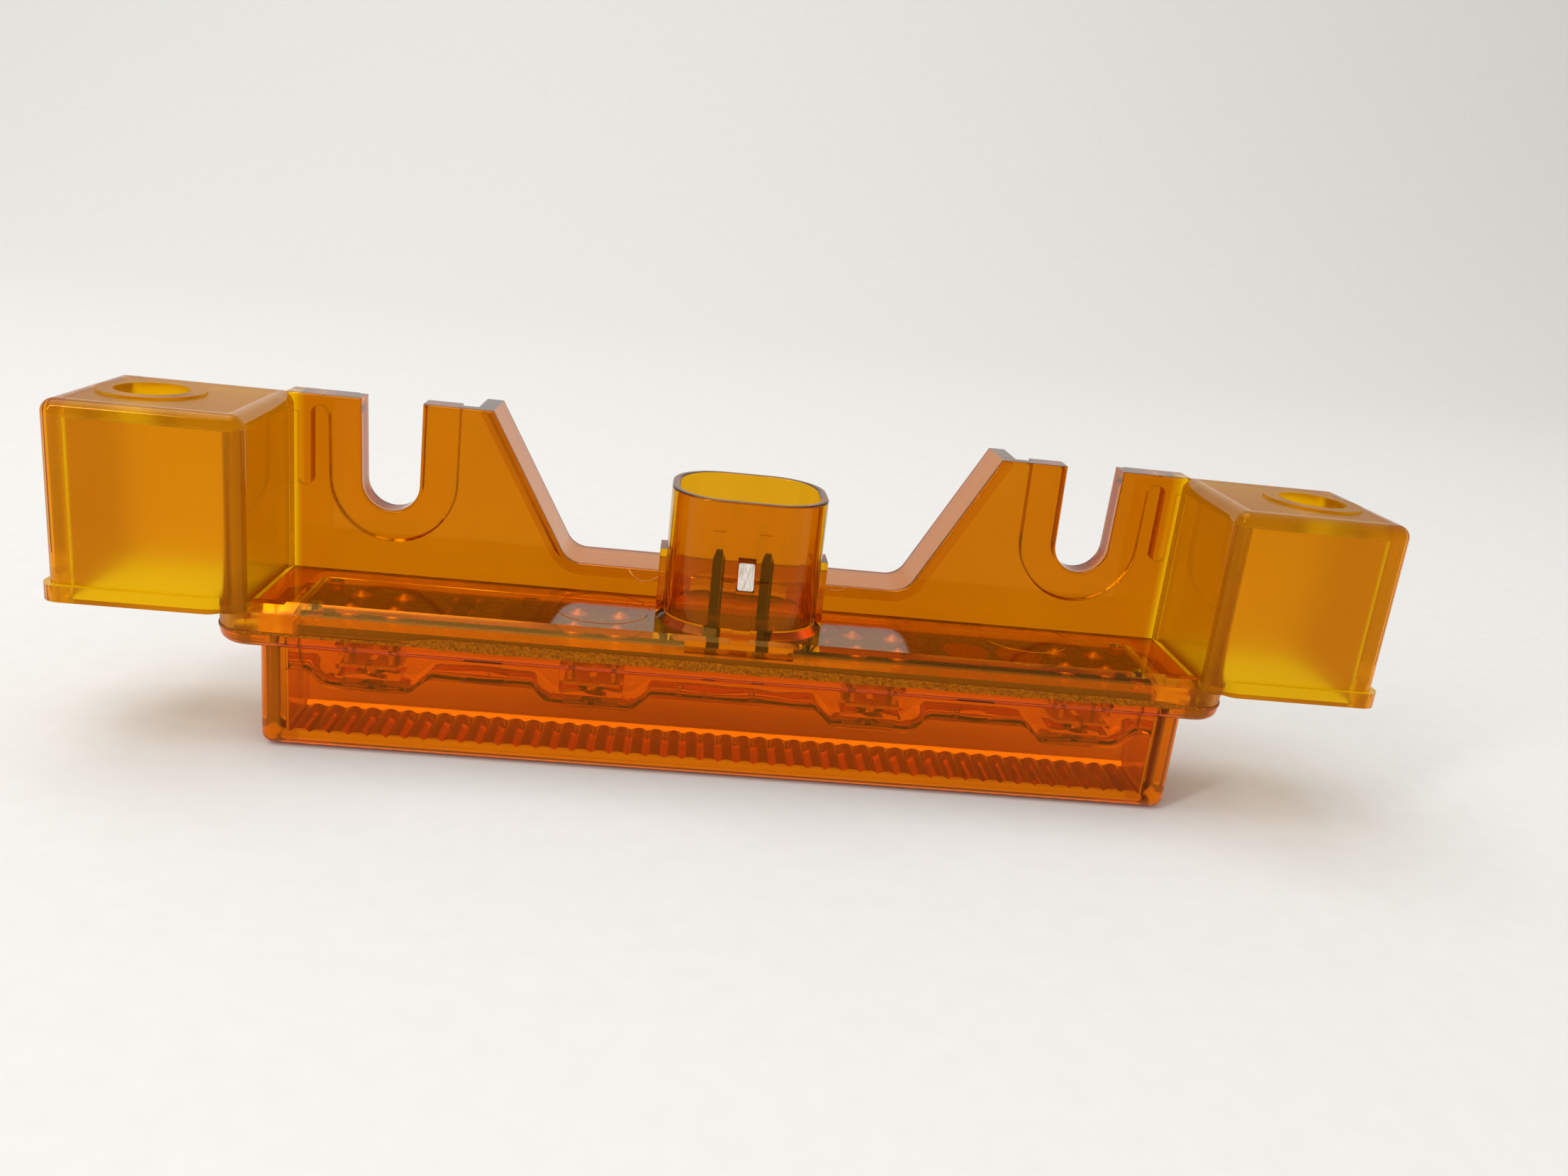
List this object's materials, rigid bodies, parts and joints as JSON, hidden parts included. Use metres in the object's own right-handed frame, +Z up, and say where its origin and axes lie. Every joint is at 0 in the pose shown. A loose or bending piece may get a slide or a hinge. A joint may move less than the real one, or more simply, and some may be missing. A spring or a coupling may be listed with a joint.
{
  "type": "led warning lamp",
  "caption": "Sealed amber LED warning lamp bar with end boxes, open screw slots, a notched back plate, a plug shroud and a fluted lens.",
  "frame": {"origin": "centre of the lens's flat outer face", "axes": "+X along the lamp, +Y from the lens towards the back plate, +Z up out of the plug shroud; the lens faces -Z"},
  "size_m": [0.1554, 0.0281, 0.0393],
  "materials": {
    "amber_housing": "polished translucent amber polycarbonate",
    "amber_lens": "polished translucent amber polycarbonate",
    "weld_flash": "rough melted amber polycarbonate",
    "board_green": "dark green solder mask over glass fibre laminate",
    "bare_copper": "bare copper with a gold flash",
    "solder": "bright solder",
    "tinned_brass": "tinned brass",
    "led_package": "clear epoxy",
    "lead_frame_metal": "silver plated steel",
    "reflector_silver": "silver plate",
    "led_chip": "yellow semiconductor",
    "resistor_black": "black glaze on ceramic",
    "capacitor_tan": "tan ceramic",
    "tin_plate": "tin plate",
    "moulded_black": "black moulding compound",
    "clear_potting": "clear poured resin"
  },
  "bodies": {
    "root": {"capacitor_1": "capacitor_tan", "capacitor_2": "capacitor_tan", "chip_end_caps": "tin_plate", "circuit_board": "board_green", "copper_discs": "bare_copper", "diode_legs": "tin_plate", "driver_chip": "moulded_black", "housing": "amber_housing", "led_1_body": "led_package", "led_1_chip": "led_chip", "led_1_lead_frame": "lead_frame_metal", "led_1_reflector_cup": "reflector_silver", "led_2_body": "led_package", "led_2_chip": "led_chip", "led_2_lead_frame": "lead_frame_metal", "led_2_reflector_cup": "reflector_silver", "led_3_body": "led_package", "led_3_chip": "led_chip", "led_3_lead_frame": "lead_frame_metal", "led_3_reflector_cup": "reflector_silver", "led_4_body": "led_package", "led_4_chip": "led_chip", "led_4_lead_frame": "lead_frame_metal", "led_4_reflector_cup": "reflector_silver", "led_solder_joints": "solder", "lens": "amber_lens", "potting_compound": "clear_potting", "resistor_1": "resistor_black", "resistor_2": "resistor_black", "resistor_3": "resistor_black", "resistor_4": "resistor_black", "reverse_diode": "moulded_black", "surge_suppressor": "moulded_black", "terminal_left": "tinned_brass", "terminal_right": "tinned_brass", "terminal_solder_joints": "solder", "weld_bead": "weld_flash"}
  },
  "joints": []
}
